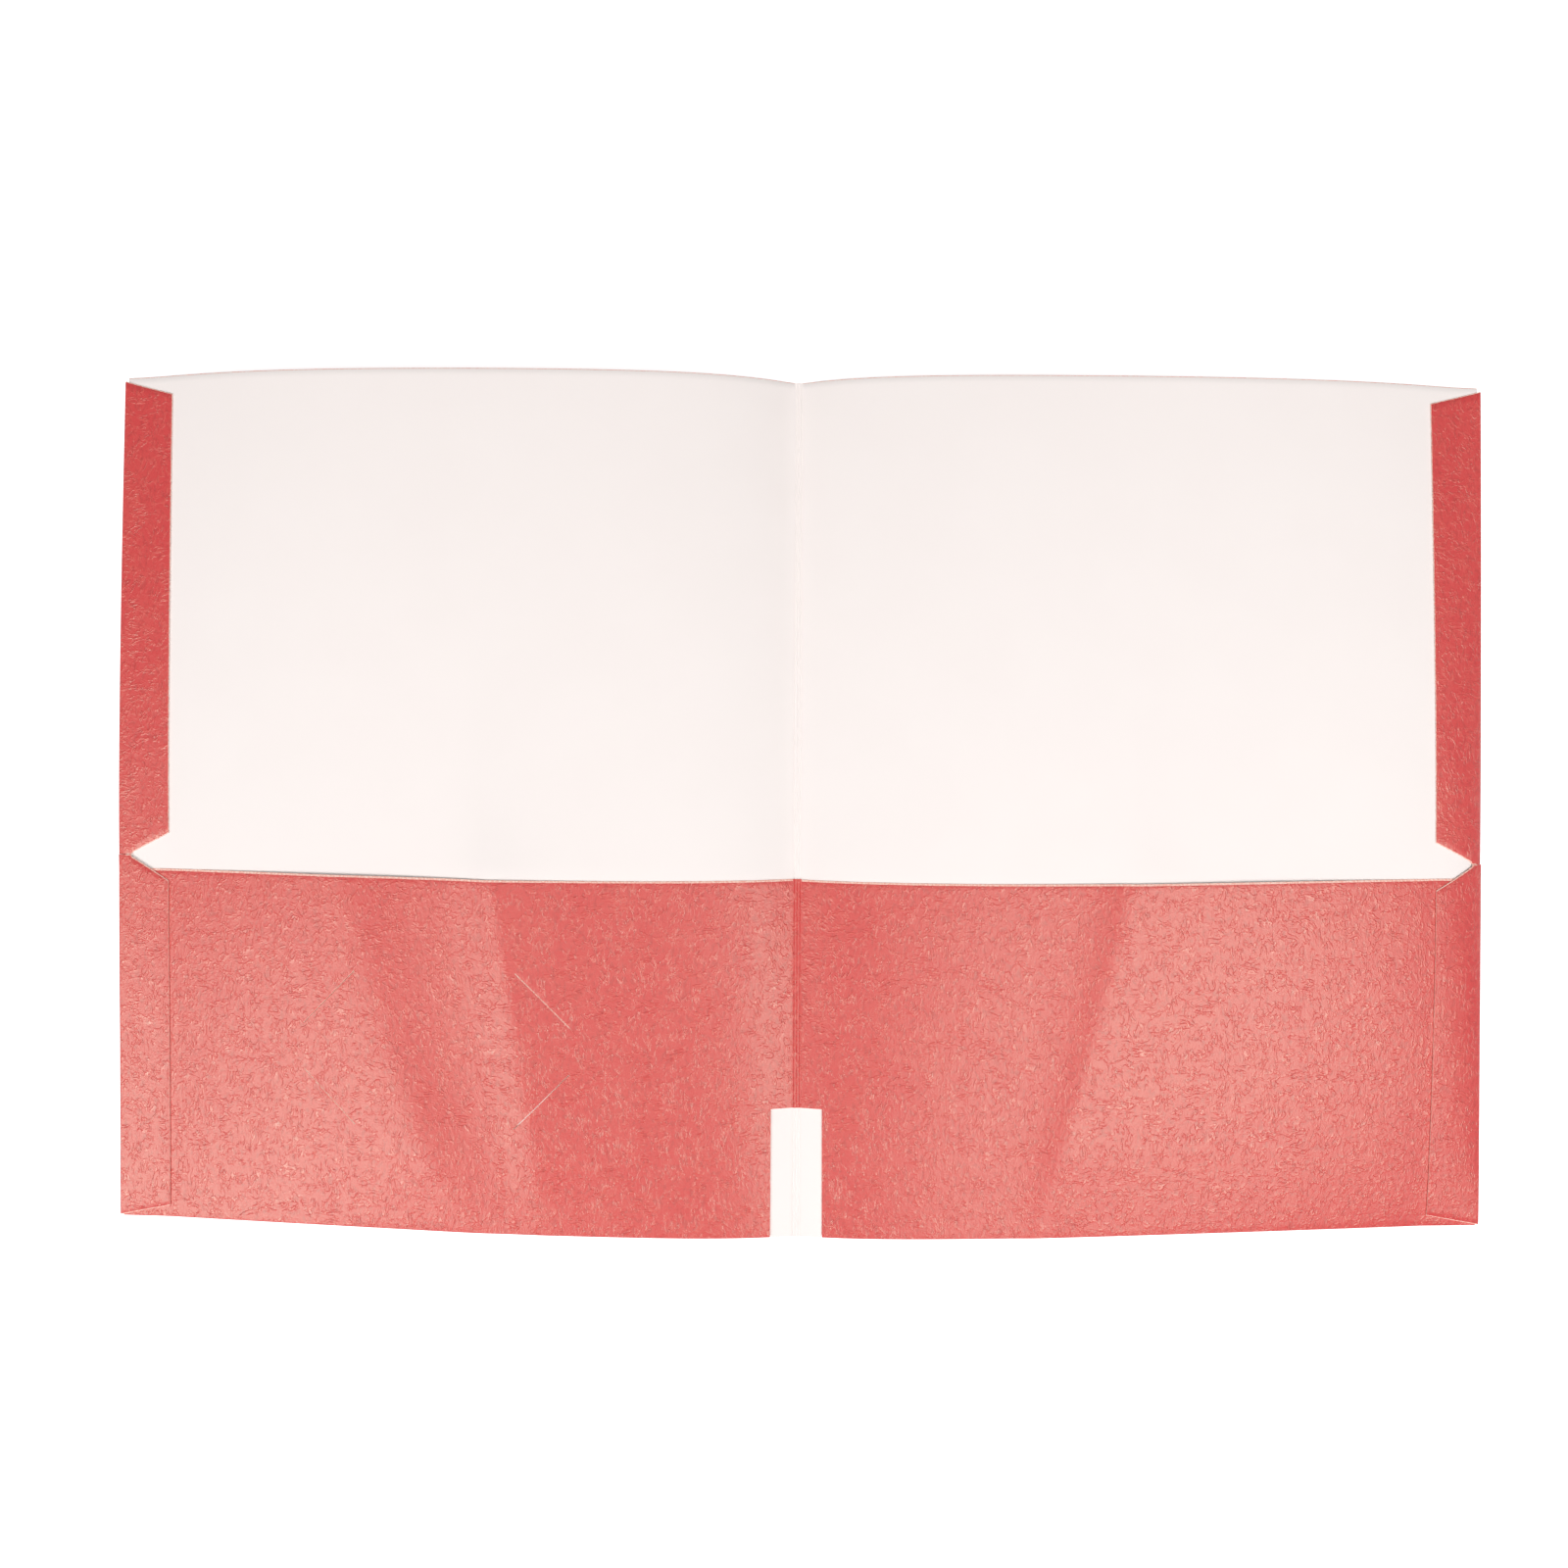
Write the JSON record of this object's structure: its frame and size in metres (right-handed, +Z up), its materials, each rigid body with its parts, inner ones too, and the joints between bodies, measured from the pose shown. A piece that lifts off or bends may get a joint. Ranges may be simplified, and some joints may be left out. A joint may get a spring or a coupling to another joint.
{
  "type": "document folder",
  "caption": "Two-pocket presentation folder lying open, with folded side flaps, a scored spine and slits for a business card.",
  "frame": {"origin": "on the table under the middle of the open spread", "axes": "+X across the spread to the right half, +Y up the page towards the top edge, +Z up from the table, inside of the folder facing +Z"},
  "size_m": [0.4826, 0.2984, 0.0187],
  "materials": {
    "red_embossed_card": "coated and embossed with a fine leather grain, satin sheen",
    "white_card": "smooth uncoated inside face, warm white",
    "dried_glue": "dried glue film"
  },
  "bodies": {
    "left_half": {"cover_left": "white_card", "pocket_left": "red_embossed_card", "side_flap_upper_left": "red_embossed_card", "side_flap_lower_left": "red_embossed_card", "glue_upper_left": "dried_glue", "glue_lower_left": "dried_glue", "spine_crease": "white_card", "pocket_crease": "red_embossed_card"},
    "right_half": {"cover_right": "white_card", "pocket_right": "red_embossed_card", "side_flap_upper_right": "red_embossed_card", "side_flap_lower_right": "red_embossed_card", "glue_upper_right": "dried_glue", "glue_lower_right": "dried_glue"}
  },
  "joints": [
    {"name": "spine_fold", "type": "hinge", "parent": "left_half", "child": "right_half", "pos_m": [0, 0.14922, 0.0013], "axis": [0, -0.9982, 0.0602], "range_deg": [0, 180], "deforming": ["spine_crease", "pocket_crease"]}
  ]
}
